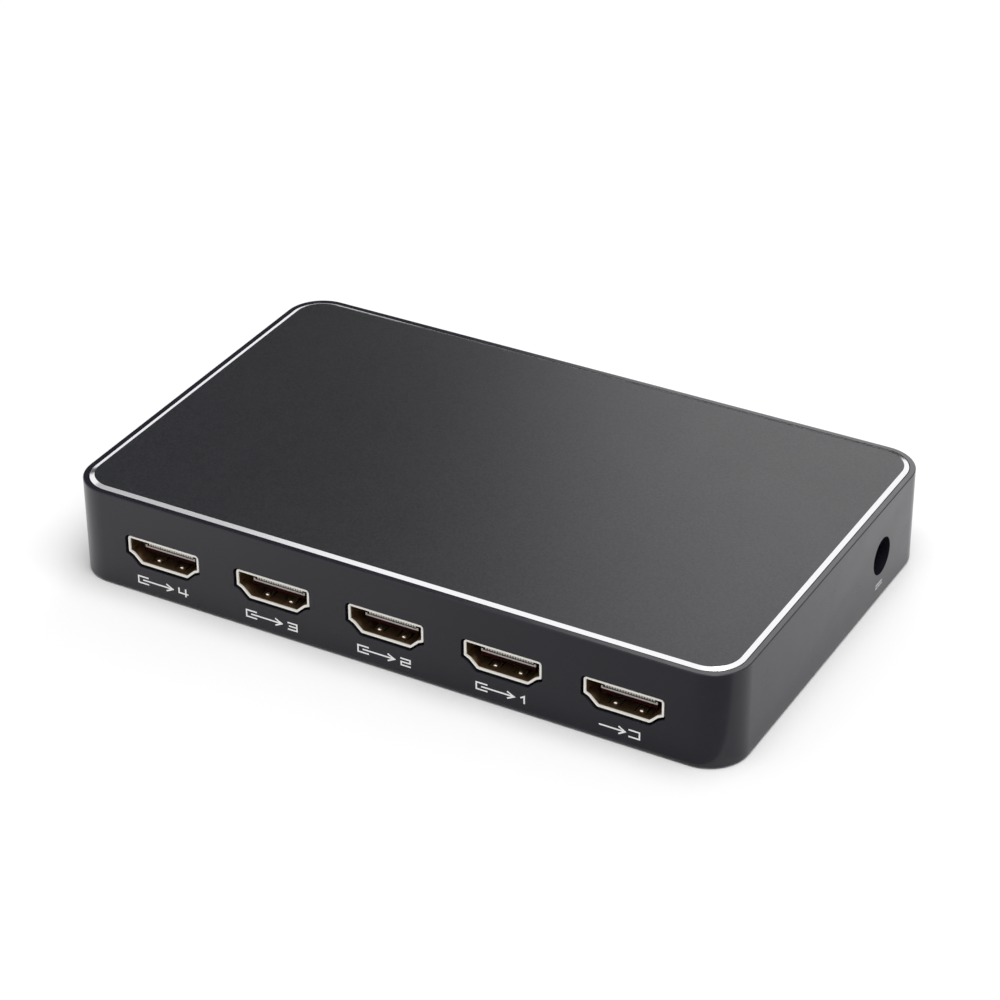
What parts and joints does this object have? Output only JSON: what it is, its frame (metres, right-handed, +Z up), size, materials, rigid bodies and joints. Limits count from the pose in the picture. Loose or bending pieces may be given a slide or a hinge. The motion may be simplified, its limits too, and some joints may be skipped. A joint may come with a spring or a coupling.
{
  "type": "hdmi splitter",
  "caption": "Flat rounded box with a row of video sockets in its front wall, an inset metal top plate with a bright bevel, and a round power socket in its side.",
  "frame": {"origin": "on the ground, under the middle of the case, at the underside of the feet", "axes": "+X along the row of sockets towards the input and the power socket, +Y towards the back, +Z up; the sockets face -Y"},
  "size_m": [0.132, 0.082, 0.0193],
  "materials": {
    "case_plastic": "fine satin moulded black",
    "plate_metal": "black anodised and satin, with a bright cut bevel",
    "shell_metal": "gold plated, bright",
    "socket_plastic": "black heat-resistant plastic",
    "contact_metal": "plated, satin",
    "jack_plastic": "black",
    "terminal_metal": "plated, satin",
    "cover_plastic": "fine satin moulded black",
    "foot_rubber": "matte",
    "screw_metal": "blackened",
    "adhesive": "thin clear sheet",
    "board_laminate": "green solder mask",
    "chip_plastic": "black moulded package",
    "pad_silicone": "soft grey",
    "sink_metal": "extruded, plain",
    "part_ceramic": "matte",
    "can_metal": "bright can"
  },
  "bodies": {
    "root": {"bottom_cover": "cover_plastic", "chip_capacitors": "part_ceramic", "circuit_board": "board_laminate", "cover_screws": "screw_metal", "crystal": "can_metal", "heat_sink": "sink_metal", "housing": "case_plastic", "jack_body": "jack_plastic", "jack_pin": "terminal_metal", "jack_spring": "terminal_metal", "jack_switch_contact": "terminal_metal", "memory_chip": "chip_plastic", "plate_adhesive": "adhesive", "power_inductor": "chip_plastic", "regulators": "chip_plastic", "rubber_feet": "foot_rubber", "series_resistors": "chip_plastic", "socket_contacts_input": "contact_metal", "socket_contacts_output_1": "contact_metal", "socket_contacts_output_2": "contact_metal", "socket_contacts_output_3": "contact_metal", "socket_contacts_output_4": "contact_metal", "socket_insulator_input": "socket_plastic", "socket_insulator_output_1": "socket_plastic", "socket_insulator_output_2": "socket_plastic", "socket_insulator_output_3": "socket_plastic", "socket_insulator_output_4": "socket_plastic", "socket_shell_input": "shell_metal", "socket_shell_output_1": "shell_metal", "socket_shell_output_2": "shell_metal", "socket_shell_output_3": "shell_metal", "socket_shell_output_4": "shell_metal", "splitter_chip": "chip_plastic", "storage_capacitor": "can_metal", "surge_arrays": "chip_plastic", "thermal_pad": "pad_silicone", "top_plate": "plate_metal"}
  },
  "joints": []
}
